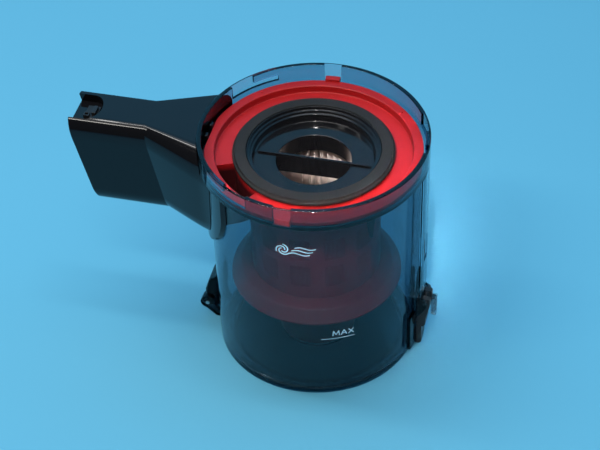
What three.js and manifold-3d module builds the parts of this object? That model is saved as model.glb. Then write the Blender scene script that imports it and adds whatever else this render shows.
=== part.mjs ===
// Dust canister of a bagless cyclonic vacuum cleaner, in millimetres.
// +Z is up, the origin is under the middle of the bottom door, the inlet duct points along -X,
// and the latch and its push rod stand on the +X side.
import * as THREE from 'three';
import { mergeVertices } from 'three/addons/utils/BufferGeometryUtils.js';
import Module from 'manifold-3d';

const wasm = await Module();
wasm.setup();

// Driving dimensions of the clear bin
const HEIGHT = 177;
const RIM_R = 78;
const COLLAR_BOTTOM = 160;
const COLLAR_WALL = 3.3;
const BODY_TOP_R = 71.8;
const BODY_FOOT_R = 70.6;
const BODY_WALL = 2.4;
const LEDGE_T = 1.9;
const DOOR_T = 5.2;
const GAP = 0.3;
const ROUND = 48;
const SMALL_ROUND = 20;

const BIN_FOOT = DOOR_T + GAP;
const COLLAR_R = RIM_R - COLLAR_WALL;
const LEDGE_Z = COLLAR_BOTTOM + LEDGE_T;

// Rim details: three L-shaped bayonet slots for the lid and two full-height key channels
const SLOTS = [{ angle: -118.5, leg: 14.4 }, { angle: 21.2, leg: 9.5 }, { angle: 143.9, leg: 14.4 }];
const SLOT_SPAN = 14.4;
const SLOT_DEPTH = 1.9;
const SLOT_FLOOR = 167.3;
const SLOT_LEG_TOP = 171.5;
const CHANNEL_ANGLES = [-92, 93];
const CHANNEL_W = 12;
const CHANNEL_DEPTH = 2.1;
const KEYWAY = { x0: 73, x1: 77.1, halfW: 4.2 };

// Inlet duct: a rounded-box tube that flares on to the bin
const DUCT_HALF_W = 18.5;
const DUCT_BOTTOM = 104;
const DUCT_TOP = 174;
const DUCT_END_X = -168.5;
const DUCT_SLANT = 0.24;
const DUCT_WALL = 2.6;
const FLARE_START_X = -114;
const FLARE_SLANT = 0.2;
const FLARE_HALF_W = 51;
const FLARE_LIP = 5.4;
const FLARE_LIP_START = 0.65;
const FLARE_END_X = -52;
const DUCT_CORNERS = { lowY: 8, lowZ: 10, topY: 6, topZ: 12 };
const FLARE_CORNERS = { lowY: 27, lowZ: 35, topY: 8, topZ: 16 };
const INLET_HALF_W = 30;
const INLET_LOW = 112;
const INLET_HIGH = 152;
const GASKET_R = 72.1;
const GASKET_T = 2.4;
const GASKET_OUTLINE = { halfW: 54.6, low: 100.5, high: COLLAR_BOTTOM - GAP };
const GASKET_CORNERS = { lowY: 30, lowZ: 38, topY: 1, topZ: 1 };
const POCKET_BACK_X = -147.5;
const POCKET_HALF_W = 12.5;
const POCKET_FLOOR = 168;
const POCKET_TRAY_T = 2;

// Separator: a red deck with a well for the filter and a hollow ramp beside the inlet, a shroud,
// a skirt and a fine-dust tube
const DECK_R = 73.4;
const DECK_TOP = 165;
const DECK_Z = 159.6;
const DECK_T = 2;
const RAISED_IN_R = 66.5;
const RIM_WALL = 1.7;
const RIM_FLAT_X = -71.4;
const WELL_R = 45.9;
const WELL_FOOT = 153;
const RAMP = { innerR: 52, outerR: 67.8, foot: 105, from: -159, openTo: -121, to: -107, wall: 1.4 };
const DECK_TAB = { angle: -44, radius: RAISED_IN_R + 1.6, halfW: 4, tipHalfW: 0.8, foot: 136.5, t: 1.6 };
const SHROUD_R = 45;
const SHROUD_TOP = 152.5;
const SHROUD_WALL = 1.8;
const SLOT_ROWS = [80, 104, 128];
const SLOT_COLUMNS = 12;
const SLOT_H = 18;
const SLOT_HALF_W = 7;
const SKIRT_R = 59.7;
const SKIRT_Z = 57.6;
const FLOOR_Z = 68.5;
const FLOOR_T = 2.2;
const TUBE_R = 27;
const TUBE_FOOT = 6.2;

// Filter unit
const SEAL_OUT_R = 54.5;
const SEAL_IN_R = 45.4;
const FLANGE_Z = DECK_Z + GAP;
const BOWL_Z = 154.6;
const THROAT_R = 25.5;
const THROAT_FOOT = 141;
const SEAL_SEAT = FLANGE_Z + 3.2;
const CEILING_Z = BOWL_Z - 2.6;
const WEB_HALF_L = 39;
const WEB_HALF_T = 0.8;
const WEB_TOP = BOWL_Z + 1.5;
const PLEATS = 40;
const PLEAT_OUT_R = 40;
const PLEAT_IN_R = 28;
const PLEAT_T = 1.2;
const PLEAT_FOOT = 89.8;
const CAP_R = 41.4;
const CAP_T = 3;

// Latch side (+X) and hinge side (-X)
const PIVOT = { x: 79, z: 43.5 };
const PIVOT_R = 1.5;
const LEVER_HALF_W = 6.3;
const EAR_IN = 7.2;
const EAR_OUT = 9.2;
const PAD = { x0: 82.9, x1: 86.7, halfW: 3.2, z0: 27.8, z1: 43.8, plateT: 1.6, ribT: 1.6 };
const PAD_RIBS = [27.8, 32.6, 37.4, 42.2];
const RAIL_HALF_W = 13;
const RAIL_FOOT = 52;
const RIB_T = 1.8;
const RIB_X = 75.2;
const COVER_T = 0.9;
const COVER_R = RIM_R - 0.2;
const WINDOW = { halfW: 5, z0: 80, z1: 101 };
const ROD_X = 75.3;
const ROD_SPRING = { x: 75.3, z: 50.25, radius: 1.1, wire: 0.5, turns: 4, length: 4.2 };
const HINGE = { x: -80, z: 12.5 };
const HINGE_PIN_R = 1.5;
const KNUCKLE_R = 6;
const KNUCKLE_IN = 6;
const KNUCKLE_OUT = 10;
const LIP = { x0: 69.8, x1: 73.2, halfW: 6, z0: 2.9, z1: 4.9 };
const FOOT_R = 24;
const BORE_GAP = 0.1;

// ---------- solids ----------

function toSolid(geometry) {
  const bare = geometry.index ? geometry.toNonIndexed() : geometry.clone();
  for (const name of Object.keys(bare.attributes)) {
    if (name !== 'position') bare.deleteAttribute(name);
  }
  const merged = mergeVertices(bare, 1e-4);
  const index = merged.index.array;
  const triVerts = [];
  for (let i = 0; i < index.length; i += 3) {
    const [a, b, c] = [index[i], index[i + 1], index[i + 2]];
    if (a !== b && b !== c && c !== a) triVerts.push(a, b, c);
  }
  return new wasm.Manifold(new wasm.Mesh({
    numProp: 3,
    vertProperties: new Float32Array(merged.attributes.position.array),
    triVerts: new Uint32Array(triVerts),
  }));
}

function box(x0, x1, y0, y1, z0, z1) {
  const geometry = new THREE.BoxGeometry(x1 - x0, y1 - y0, z1 - z0);
  geometry.translate((x0 + x1) / 2, (y0 + y1) / 2, (z0 + z1) / 2);
  return toSolid(geometry);
}

// Revolves an outline of [radius, z] points, given anticlockwise, around the Z axis.
function turned(outline, segments = ROUND) {
  const points = outline.map(([r, z]) => new THREE.Vector2(r, z));
  points.push(points[0].clone());
  const geometry = new THREE.LatheGeometry(points, segments);
  geometry.rotateX(Math.PI / 2);
  return toSolid(geometry);
}

function ring(innerR, outerR, z0, z1, segments = ROUND) {
  return turned([[innerR, z0], [outerR, z0], [outerR, z1], [innerR, z1]], segments);
}

function disc(radius, z0, z1, segments = ROUND) {
  return turned([[0, z0], [radius, z0], [radius, z1], [0, z1]], segments);
}

// The same box on both sides of the XZ plane, from y = inner to y = outer.
function pairOfBoxes(x0, x1, inner, outer, z0, z1) {
  return box(x0, x1, inner, outer, z0, z1).add(box(x0, x1, -outer, -inner, z0, z1));
}

// A rod of round section along Y.
function yRod(x, z, radius, y0, y1, segments = SMALL_ROUND) {
  const geometry = new THREE.CylinderGeometry(radius, radius, y1 - y0, segments);
  geometry.translate(x, (y0 + y1) / 2, z);
  return toSolid(geometry);
}

// A pin hole along Y, a little wider than its pin and right through.
function pinHole(centre, pinR) {
  return yRod(centre.x, centre.z, pinR + BORE_GAP, -12, 12);
}

// Extrudes an outline of [x, z] points along Y.
function profileXZ(points, y0, y1) {
  const shape = new THREE.Shape(points.map(([x, z]) => new THREE.Vector2(x, z)));
  const geometry = new THREE.ExtrudeGeometry(shape, { depth: y1 - y0, bevelEnabled: false });
  geometry.rotateX(Math.PI / 2);
  geometry.translate(0, y1, 0);
  return toSolid(geometry);
}

// Joins rings of equal point counts into one closed skin.
function loft(rings) {
  const count = rings[0].length;
  const positions = rings.flat().flat();
  const indices = [];
  for (let k = 0; k < rings.length - 1; k += 1) {
    for (let i = 0; i < count; i += 1) {
      const j = (i + 1) % count;
      const [near, far] = [k * count, (k + 1) * count];
      indices.push(near + i, far + j, near + j, near + i, far + i, far + j);
    }
  }
  const last = (rings.length - 1) * count;
  for (let i = 1; i < count - 1; i += 1) {
    indices.push(0, i, i + 1);
    indices.push(last, last + i + 1, last + i);
  }
  const geometry = new THREE.BufferGeometry();
  geometry.setAttribute('position', new THREE.Float32BufferAttribute(positions, 3));
  geometry.setIndex(indices);
  return toSolid(geometry);
}

function coil(place, radius, wire, turns, length) {
  class Helix extends THREE.Curve {
    getPoint(t) {
      const angle = t * turns * 2 * Math.PI;
      const along = (t - 0.5) * length;
      return place(radius * Math.cos(angle), radius * Math.sin(angle), along);
    }
  }
  const corners = [];
  for (let i = 0; i < 6; i += 1) {
    corners.push(new THREE.Vector2(wire / 2, 0).rotateAround(new THREE.Vector2(), (i * Math.PI) / 3));
  }
  return toSolid(new THREE.ExtrudeGeometry(new THREE.Shape(corners), {
    steps: turns * 10,
    bevelEnabled: false,
    extrudePath: new Helix(),
  }));
}

function prismZ(shape, z0, z1) {
  const settings = { depth: z1 - z0, bevelEnabled: false, curveSegments: 6 };
  const geometry = new THREE.ExtrudeGeometry(shape, settings);
  geometry.translate(0, 0, z0);
  return toSolid(geometry);
}

const radians = (degrees) => (degrees * Math.PI) / 180;

// A sector of a ring, centred on an angle.
function ringSector(innerR, outerR, z0, z1, angle, span) {
  const shape = new THREE.Shape();
  const half = radians(span / 2);
  shape.absarc(0, 0, outerR, radians(angle) - half, radians(angle) + half, false);
  shape.absarc(0, 0, innerR, radians(angle) + half, radians(angle) - half, true);
  return prismZ(shape, z0, z1);
}

// ---------- clear bin ----------

function rimCuts() {
  const slotPart = (top, angle, span) => ringSector(
    COLLAR_R - 1, COLLAR_R + SLOT_DEPTH, SLOT_FLOOR, top, angle, span);
  const cuts = [];
  for (const { angle, leg } of SLOTS) {
    cuts.push(slotPart(HEIGHT + 1, angle, SLOT_SPAN));
    cuts.push(slotPart(SLOT_LEG_TOP, angle - (SLOT_SPAN + leg) / 2, leg + 0.2));
  }
  for (const angle of CHANNEL_ANGLES) {
    const span = (CHANNEL_W / COLLAR_R) * (180 / Math.PI);
    cuts.push(ringSector(COLLAR_R - 1, COLLAR_R + CHANNEL_DEPTH, LEDGE_Z, HEIGHT + 1, angle, span));
  }
  return cuts;
}

function dustBin() {
  const ribs = pairOfBoxes(70, RIB_X, RAIL_HALF_W - RIB_T, RAIL_HALF_W, RAIL_FOOT, COLLAR_BOTTOM + 0.5);
  let bin = turned([
    [BODY_FOOT_R, BIN_FOOT], [BODY_TOP_R, COLLAR_BOTTOM], [RIM_R, COLLAR_BOTTOM], [RIM_R, HEIGHT],
    [COLLAR_R, HEIGHT], [COLLAR_R, LEDGE_Z], [BODY_TOP_R - BODY_WALL, LEDGE_Z],
    [BODY_FOOT_R - BODY_WALL, BIN_FOOT],
  ]).add(ribs);
  for (const cut of rimCuts()) bin = bin.subtract(cut);
  const keyway = box(KEYWAY.x0, KEYWAY.x1, -KEYWAY.halfW, KEYWAY.halfW, COLLAR_BOTTOM - 1, HEIGHT + 1);
  const inlet = box(-80, -60, -INLET_HALF_W, INLET_HALF_W, INLET_LOW, INLET_HIGH);
  return bin.subtract(keyway).subtract(inlet);
}

function rodCover() {
  const shell = ring(COVER_R - COVER_T, COVER_R, RAIL_FOOT, COLLAR_BOTTOM - GAP);
  const panel = shell.intersect(box(60, 80, -RAIL_HALF_W, RAIL_HALF_W, 0, HEIGHT));
  return panel.subtract(box(70, 80, -WINDOW.halfW, WINDOW.halfW, WINDOW.z0, WINDOW.z1));
}

// ---------- inlet duct ----------

// Points of a rounded box section, anticlockwise seen from -X, as [y, z].
function ductSection(halfW, low, high, { lowY, lowZ, topY, topZ }) {
  const corners = [
    { y: -1, z: -1, ry: lowY, rz: lowZ }, { y: -1, z: 1, ry: topY, rz: topZ },
    { y: 1, z: 1, ry: topY, rz: topZ }, { y: 1, z: -1, ry: lowY, rz: lowZ },
  ];
  const starts = [-90, 180, 90, 0];
  const points = [];
  corners.forEach(({ y, z, ry, rz }, k) => {
    const [cy, cz] = [y * (halfW - ry), z > 0 ? high - rz : low + rz];
    for (let i = 0; i <= 4; i += 1) {
      const angle = radians(starts[k] - i * 22.5);
      points.push([cy + ry * Math.cos(angle), cz + rz * Math.sin(angle)]);
    }
  });
  return points;
}

function flareHalfWidth(t) {
  const lip = Math.max(0, (t - FLARE_LIP_START) / (1 - FLARE_LIP_START));
  return DUCT_HALF_W + (FLARE_HALF_W - FLARE_LIP - DUCT_HALF_W) * t + FLARE_LIP * lip ** 2;
}

// Corner sizes part of the way along the flare; the bottom corners grow late, with the lip.
function flareCorners(t) {
  const mix = (key, share) => DUCT_CORNERS[key] + (FLARE_CORNERS[key] - DUCT_CORNERS[key]) * share;
  return {
    lowY: mix('lowY', t ** 2), lowZ: mix('lowZ', t ** 2), topY: mix('topY', t), topZ: mix('topZ', t),
  };
}

function ductSkin(inset) {
  const rings = [];
  const xEnd = (z) => DUCT_END_X + (DUCT_TOP - z) * DUCT_SLANT - (inset ? 5 : 0);
  const xFlare = (z) => FLARE_START_X + (DUCT_TOP - z) * FLARE_SLANT;
  const addRing = (halfW, xAt, t = 0) => {
    const section = ductSection(halfW - inset, DUCT_BOTTOM + inset, DUCT_TOP - inset, flareCorners(t));
    rings.push(section.map(([y, z]) => [xAt(z), y, z]));
  };
  addRing(DUCT_HALF_W, xEnd);
  addRing(DUCT_HALF_W, xFlare);
  const steps = 8;
  for (let k = 1; k <= steps; k += 1) {
    const t = k / steps;
    addRing(flareHalfWidth(t), (z) => xFlare(z) + (FLARE_END_X - xFlare(z)) * t, t);
  }
  return loft(rings);
}

function pocketOutline(halfW, backX) {
  const shape = new THREE.Shape();
  const radius = halfW * 0.7;
  shape.moveTo(DUCT_END_X - 10, -halfW);
  shape.lineTo(backX - radius, -halfW);
  shape.absellipse(backX - radius, 0, radius, halfW, -Math.PI / 2, Math.PI / 2, false, 0);
  shape.lineTo(DUCT_END_X - 10, halfW);
  return shape;
}

function inletDuct() {
  const trayOutline = pocketOutline(POCKET_HALF_W + POCKET_TRAY_T, POCKET_BACK_X + POCKET_TRAY_T);
  const tray = prismZ(trayOutline, POCKET_FLOOR - POCKET_TRAY_T, DUCT_TOP - 1);
  const passage = ductSkin(DUCT_WALL).subtract(tray);
  const pocket = prismZ(pocketOutline(POCKET_HALF_W, POCKET_BACK_X), POCKET_FLOOR, DUCT_TOP + 5);
  const bodyCut = disc(GASKET_R + GASKET_T + GAP, 90, COLLAR_BOTTOM + 0.1);
  const collarCut = disc(RIM_R + GAP, COLLAR_BOTTOM - GAP, HEIGHT + 5);
  return ductSkin(0).subtract(passage).subtract(pocket).subtract(bodyCut).subtract(collarCut);
}

function inletGasket() {
  const { halfW, low, high } = GASKET_OUTLINE;
  const band = ring(GASKET_R, GASKET_R + GASKET_T, low, high);
  const section = ductSection(halfW, low, high, GASKET_CORNERS);
  const outside = loft([-90, -40].map((x) => section.map(([y, z]) => [x, y, z])));
  const window = box(-90, -40, -INLET_HALF_W, INLET_HALF_W, INLET_LOW, INLET_HIGH);
  return band.intersect(outside).subtract(window);
}

function hoseCatch() {
  const floor = POCKET_FLOOR + GAP;
  const plate = box(-159.5, -150.5, -6.5, 6.5, floor, floor + 1.4);
  const hook = box(-154.5, -151.5, -4, 4, floor + 1, floor + 4);
  const block = box(-159.5, -155.5, -6.5, -2.5, floor + 1, floor + 3);
  const blockHole = box(-158.6, -156.4, -5.6, -3.4, floor, floor + 5);
  return plate.add(hook).add(block.subtract(blockHole));
}

// ---------- separator ----------

// The ramp's floor climbs round the bin from beside the inlet up to the deck, which is open above most of it.
function inletRamp(inset, top, end) {
  const { innerR, outerR, foot, from, to } = RAMP;
  const steps = 12;
  const rings = [];
  for (let k = 0; k <= steps; k += 1) {
    const share = (k / steps) * ((end - from) / (to - from));
    const angle = radians(from + (to - from) * share) + (k === 0 ? inset / innerR : 0);
    const low = foot + (DECK_Z - DECK_T - foot) * share + 1.25 * inset;
    const section = [
      [innerR + inset, low], [outerR - inset, low], [outerR - inset, top], [innerR + inset, top],
    ];
    rings.push(section.map(([r, z]) => [r * Math.cos(angle), r * Math.sin(angle), z]));
  }
  return loft(rings);
}

// A small pointed tab hangs from the deck's outer edge.
function deckTab() {
  const { angle, radius, halfW, tipHalfW, foot, t } = DECK_TAB;
  const top = DECK_Z - 1;
  const section = (x) => [
    [x, -halfW, top], [x, -tipHalfW, foot], [x, tipHalfW, foot], [x, halfW, top],
  ];
  return loft([section(radius - t), section(radius)]).rotate([0, 0, angle]);
}

function separatorDeck() {
  const under = DECK_Z - DECK_T;
  const ringUnder = DECK_TOP - RIM_WALL;
  const rimFoot = LEDGE_Z + GAP;
  let deck = turned([
    [WELL_R, WELL_FOOT], [WELL_R + 1.6, WELL_FOOT], [WELL_R + 1.6, under], [RAISED_IN_R + RIM_WALL, under],
    [RAISED_IN_R + RIM_WALL, ringUnder], [DECK_R - RIM_WALL, ringUnder], [DECK_R - RIM_WALL, rimFoot],
    [DECK_R, rimFoot], [DECK_R, DECK_TOP], [RAISED_IN_R, DECK_TOP], [RAISED_IN_R, DECK_Z], [WELL_R, DECK_Z],
  ]);
  const tabR = COLLAR_R + CHANNEL_DEPTH - GAP - 0.2;
  for (const angle of CHANNEL_ANGLES) {
    deck = deck.add(ringSector(DECK_R - 1.5, tabR, rimFoot, DECK_TOP + 2, angle, 8));
  }
  deck = deck.subtract(box(-80, RIM_FLAT_X, -30, 30, LEDGE_Z - 1, DECK_TOP + 1));
  deck = deck.add(inletRamp(0, DECK_Z - 0.5, RAMP.to)).add(deckTab());
  return deck.subtract(inletRamp(RAMP.wall, DECK_Z + 1, RAMP.openTo));
}

function separatorSeal() {
  return ring(RAISED_IN_R + 2, RAISED_IN_R + 2.55, DECK_Z - DECK_T + GAP, DECK_Z + 0.8);
}

function shroud() {
  let wall = ring(SHROUD_R - SHROUD_WALL, SHROUD_R, FLOOR_Z + GAP, SHROUD_TOP);
  for (const low of SLOT_ROWS) {
    for (let i = 0; i < SLOT_COLUMNS; i += 1) {
      const slot = box(SHROUD_R - 5, SHROUD_R + 5, -SLOT_HALF_W, SLOT_HALF_W, low, low + SLOT_H);
      wall = wall.subtract(slot.rotate([0, 0, (i * 360) / SLOT_COLUMNS]));
    }
  }
  return wall;
}

function separatorSkirt() {
  const under = FLOOR_Z - FLOOR_T;
  return turned([
    [0, under], [SHROUD_R - 1, under], [51.6, 64], [SKIRT_R - 2, SKIRT_Z + 0.4], [SKIRT_R - 1.8, SKIRT_Z],
    [SKIRT_R, SKIRT_Z], [SKIRT_R, SKIRT_Z + 1.4], [52.8, 66], [SHROUD_R - 0.3, FLOOR_Z], [0, FLOOR_Z],
  ]);
}

function fineDustTube() {
  const top = FLOOR_Z - FLOOR_T - GAP;
  return turned([
    [TUBE_R - 2, TUBE_FOOT], [TUBE_R, TUBE_FOOT], [TUBE_R + 3, top], [TUBE_R + 1, top],
  ], 36);
}

// ---------- filter ----------

function filterFrame() {
  const bowl = turned([
    [THROAT_R, THROAT_FOOT], [THROAT_R + 1.8, THROAT_FOOT], [THROAT_R + 1.8, CEILING_Z],
    [PLEAT_OUT_R + 1.5, BOWL_Z - 2], [SEAL_IN_R - 0.1, BOWL_Z - 1], [SEAL_IN_R - 0.1, FLANGE_Z],
    [SEAL_OUT_R - 0.9, FLANGE_Z], [SEAL_OUT_R - 0.9, SEAL_SEAT], [SEAL_IN_R - 0.5, SEAL_SEAT],
    [SEAL_IN_R - 1.1, FLANGE_Z + 1.4], [SEAL_IN_R - 2.3, FLANGE_Z + 0.9], [SEAL_IN_R - 2.7, BOWL_Z + 1.6],
    [SEAL_IN_R - 5, BOWL_Z + 0.3], [THROAT_R, BOWL_Z],
  ]);
  const grip = box(-WEB_HALF_L, WEB_HALF_L, -WEB_HALF_T, WEB_HALF_T, BOWL_Z - 0.6, WEB_TOP);
  const blade = box(-THROAT_R - 0.6, THROAT_R + 0.6, -WEB_HALF_T, WEB_HALF_T, THROAT_FOOT, WEB_TOP);
  return bowl.add(grip).add(blade);
}

function filterSeal() {
  const low = SEAL_SEAT + GAP;
  return turned([
    [SEAL_IN_R, low], [SEAL_OUT_R - 0.6, low], [SEAL_OUT_R - 0.6, low - 2], [SEAL_OUT_R + 0.1, low - 2],
    [SEAL_OUT_R + 0.1, low + 1.2], [SEAL_OUT_R - 1, low + 1.7], [SEAL_IN_R, low + 1.7],
  ]);
}

function pleatedFilter() {
  const outline = (offset) => {
    const points = [];
    for (let i = 0; i < PLEATS * 2; i += 1) {
      const angle = (i * Math.PI) / PLEATS;
      const radius = (i % 2 ? PLEAT_OUT_R : PLEAT_IN_R + PLEAT_T) - offset;
      points.push(new THREE.Vector2(radius * Math.cos(angle), radius * Math.sin(angle)));
    }
    return points;
  };
  const shape = new THREE.Shape(outline(0));
  shape.holes.push(new THREE.Path(outline(PLEAT_T)));
  return prismZ(shape, PLEAT_FOOT, CEILING_Z - GAP);
}

function filterEndCap() {
  const top = PLEAT_FOOT - GAP;
  return turned([
    [0, top - CAP_T], [CAP_R, top - CAP_T], [CAP_R, PLEAT_FOOT + 2], [CAP_R - 1, PLEAT_FOOT + 2],
    [CAP_R - 1, top], [0, top],
  ]);
}

// ---------- bottom door and hinge ----------

function knuckle(y0, y1) {
  const arm = profileXZ([
    [-84.5, 9.5], [-80, 6.3], [-74, 0.4], [-68, 0.4], [-68, 3.4], [-70.2, 3.4], [-70.2, 4.9],
    [-72.3, 4.9], [-75.2, 12.5],
  ], y0, y1);
  return arm.add(yRod(HINGE.x, HINGE.z, KNUCKLE_R - 0.6, y0, y1));
}

function bottomDoor() {
  const dish = turned([
    [0, 0], [FOOT_R, 0], [FOOT_R + 2, 2.2], [58, 2.2], [61, 0], [BODY_FOOT_R - 0.2, 0],
    [BODY_FOOT_R - 0.2, DOOR_T], [BODY_FOOT_R - 0.9, DOOR_T], [BODY_FOOT_R - 0.9, 3.6],
    [BODY_FOOT_R - 2.7, 3.6], [BODY_FOOT_R - 2.7, DOOR_T], [64, DOOR_T], [62, 4.2], [0, 4.2],
  ]);
  const knuckles = knuckle(-KNUCKLE_OUT, -KNUCKLE_IN).add(knuckle(KNUCKLE_IN, KNUCKLE_OUT));
  const hookRecess = box(66.5, 75, -LIP.halfW - 2, LIP.halfW + 2, -1, LIP.z0);
  const lip = box(LIP.x0, LIP.x1, -LIP.halfW, LIP.halfW, LIP.z0, LIP.z1);
  return dish.add(knuckles).subtract(pinHole(HINGE, HINGE_PIN_R)).subtract(hookRecess).add(lip);
}

function doorSeal() {
  return ring(BODY_FOOT_R - 2.5, BODY_FOOT_R - 1.1, 3.8, BIN_FOOT - 0.1);
}

function hingeBracket() {
  const halfW = KNUCKLE_IN - 0.4;
  const gusset = profileXZ([
    [-72.6, 7.5], [-72.6, 46], [-73.6, 38], [-78.6, 33.5], [-80, 25], [-83, 17], [-76, 7.5],
  ], -halfW, halfW);
  const wings = profileXZ([
    [-72.6, 20.5], [-72.6, 40], [-73.6, 38], [-78.6, 33.5], [-80, 25], [-80.6, 20.5],
  ], -9, 9);
  const boss = yRod(HINGE.x, HINGE.z, KNUCKLE_R - 0.8, -halfW, halfW);
  const springSlot = box(-90, -75.5, -3, 3, 5, 18.5);
  const solid = gusset.add(wings).add(boss).subtract(pinHole(HINGE, HINGE_PIN_R));
  return solid.subtract(springSlot).subtract(disc(BODY_TOP_R - 0.2, 0, 60));
}

function hingePin() {
  const halfL = KNUCKLE_OUT + 0.6;
  return yRod(HINGE.x, HINGE.z, HINGE_PIN_R, -halfL, halfL);
}

function doorSpring() {
  return coil((u, v, w) => new THREE.Vector3(HINGE.x + u, w, HINGE.z + v), 2.9, 0.9, 4, 4.6);
}

// ---------- latch and push rod ----------

function latchBracket() {
  const bodyR = BODY_TOP_R - 0.1;
  const cheeks = ring(bodyR, bodyR + 2.4, 6, 36).intersect(pairOfBoxes(60, 80, EAR_IN + 0.2, 19, 0, 60));
  const earOutline = [[72, 30], [76, 32], [81.5, 39], [82, 44], [79, 47.5], [72, 47.5]];
  const ears = profileXZ(earOutline, EAR_IN, EAR_OUT).add(profileXZ(earOutline, -EAR_OUT, -EAR_IN));
  const shelf = box(74, 78.6, -EAR_OUT, EAR_OUT, 46, 47.5);
  const solid = cheeks.add(ears).add(shelf).subtract(pinHole(PIVOT, PIVOT_R));
  return solid.subtract(disc(bodyR, 0, 60));
}

function latchLever() {
  const outline = [
    [71.6, 1], [76, 1], [77.3, 2.6], [77.3, 18], [78.4, 18], [79.8, 20], [80, 26], [82.6, 38], [82.6, 45],
    [74.6, 45.2], [73.9, 44], [73.9, 23.7], [72.3, 21], [72.3, 9], [73.9, 7.2], [73.9, 2.6], [71.6, 2.4],
  ];
  const springSlot = box(75.5, 84, -2.6, 2.6, 39.6, 46);
  const lever = profileXZ(outline, -LEVER_HALF_W, LEVER_HALF_W);
  return lever.subtract(pinHole(PIVOT, PIVOT_R)).subtract(springSlot);
}

function thumbPad() {
  const face = PAD.x0 + PAD.plateT;
  const plate = box(PAD.x0, face, -PAD.halfW, PAD.halfW, PAD.z0, PAD.z1);
  let pad = plate;
  for (const z of PAD_RIBS) {
    pad = pad.add(box(face - 0.3, PAD.x1, -PAD.halfW, PAD.halfW, z, z + PAD.ribT));
  }
  return pad;
}

function latchPin() {
  const halfL = EAR_OUT + 0.4;
  return yRod(PIVOT.x, PIVOT.z, PIVOT_R, -halfL, halfL);
}

function latchSpring() {
  return coil((u, v, w) => new THREE.Vector3(PIVOT.x + u, w, PIVOT.z + v), 2.1, 0.6, 4, 3.8);
}

function pushRod() {
  const blade = box(ROD_X, ROD_X + 0.9, -3.5, 3.5, 64.3, 172);
  const flag = box(ROD_X, ROD_X + 2.3, -3, 3, 86, 88.5);
  return blade.add(flag);
}

function rodShoe() {
  const [halfW, top] = [4.5, 64];
  const block = box(72.2, 76.2, -halfW, halfW, 53, top);
  const corners = [[-halfW, top], [halfW, top], [0, top + 6.5]];
  const arrow = new THREE.Shape(corners.map(([y, z]) => new THREE.Vector2(y, z)));
  const geometry = new THREE.ExtrudeGeometry(arrow, { depth: 2.6, bevelEnabled: false });
  geometry.rotateX(Math.PI / 2).rotateZ(Math.PI / 2).translate(72.3, 0, 0);
  const tongue = profileXZ([[72.2, 54], [72.2, 22], [72.6, 22], [73.6, 23.7], [73.6, 54]], -3, 3);
  return block.add(tongue).add(toSolid(geometry));
}

function rodSpring() {
  const { x, z, radius, wire, turns, length } = ROD_SPRING;
  return coil((u, v, w) => new THREE.Vector3(x + u, v, z + w), radius, wire, turns, length);
}

// ---------- assembly ----------

const LOOKS = {
  clear: { color: 0x5f7f92, roughness: 0.08, metalness: 0, transparent: true, opacity: 0.35 },
  smoke: { color: 0x46525c, roughness: 0.2, metalness: 0, transparent: true, opacity: 0.6 },
  black: { color: 0x0b0c0e, roughness: 0.12, metalness: 0 },
  satin: { color: 0x17181a, roughness: 0.45, metalness: 0 },
  red: { color: 0xc3161c, roughness: 0.42, metalness: 0 },
  dark: { color: 0x4a1016, roughness: 0.4, metalness: 0 },
  rubber: { color: 0x3a3735, roughness: 0.85, metalness: 0 },
  paper: { color: 0xb8a196, roughness: 0.95, metalness: 0 },
  steel: { color: 0xb4b6b8, roughness: 0.3, metalness: 1 },
};

const PIECES = [
  ['dust_bin', 'clear', dustBin],
  ['rod_cover', 'clear', rodCover],
  ['inlet_duct', 'black', inletDuct],
  ['inlet_gasket', 'rubber', inletGasket],
  ['hose_catch', 'satin', hoseCatch],
  ['hinge_bracket', 'smoke', hingeBracket],
  ['hinge_pin', 'steel', hingePin],
  ['door_spring', 'steel', doorSpring],
  ['latch_bracket', 'smoke', latchBracket],
  ['latch_pin', 'steel', latchPin],
  ['latch_spring', 'steel', latchSpring],
  ['rod_spring', 'steel', rodSpring],
  ['bottom_door', 'smoke', bottomDoor],
  ['door_seal', 'rubber', doorSeal],
  ['latch_lever', 'satin', latchLever],
  ['thumb_pad', 'smoke', thumbPad],
  ['push_rod', 'clear', pushRod],
  ['rod_shoe', 'smoke', rodShoe],
  ['separator_deck', 'red', separatorDeck],
  ['separator_seal', 'rubber', separatorSeal],
  ['shroud', 'dark', shroud],
  ['separator_skirt', 'red', separatorSkirt],
  ['fine_dust_tube', 'dark', fineDustTube],
  ['filter_frame', 'black', filterFrame],
  ['filter_seal', 'rubber', filterSeal],
  ['pleated_filter', 'paper', pleatedFilter],
  ['filter_end_cap', 'black', filterEndCap],
];

function toMesh(name, look, solid) {
  const { vertProperties, triVerts } = solid.getMesh();
  const geometry = new THREE.BufferGeometry();
  geometry.setAttribute('position', new THREE.BufferAttribute(vertProperties, 3));
  geometry.setIndex(new THREE.BufferAttribute(triVerts, 1));
  const mesh = new THREE.Mesh(geometry, new THREE.MeshStandardMaterial(LOOKS[look]));
  mesh.name = name;
  return mesh;
}

const canister = new THREE.Group();
for (const [name, look, make] of PIECES) canister.add(toMesh(name, look, make()));

export default canister;
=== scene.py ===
import math

import bmesh
import bpy
import numpy as np
from mathutils import Matrix, Vector


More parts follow.
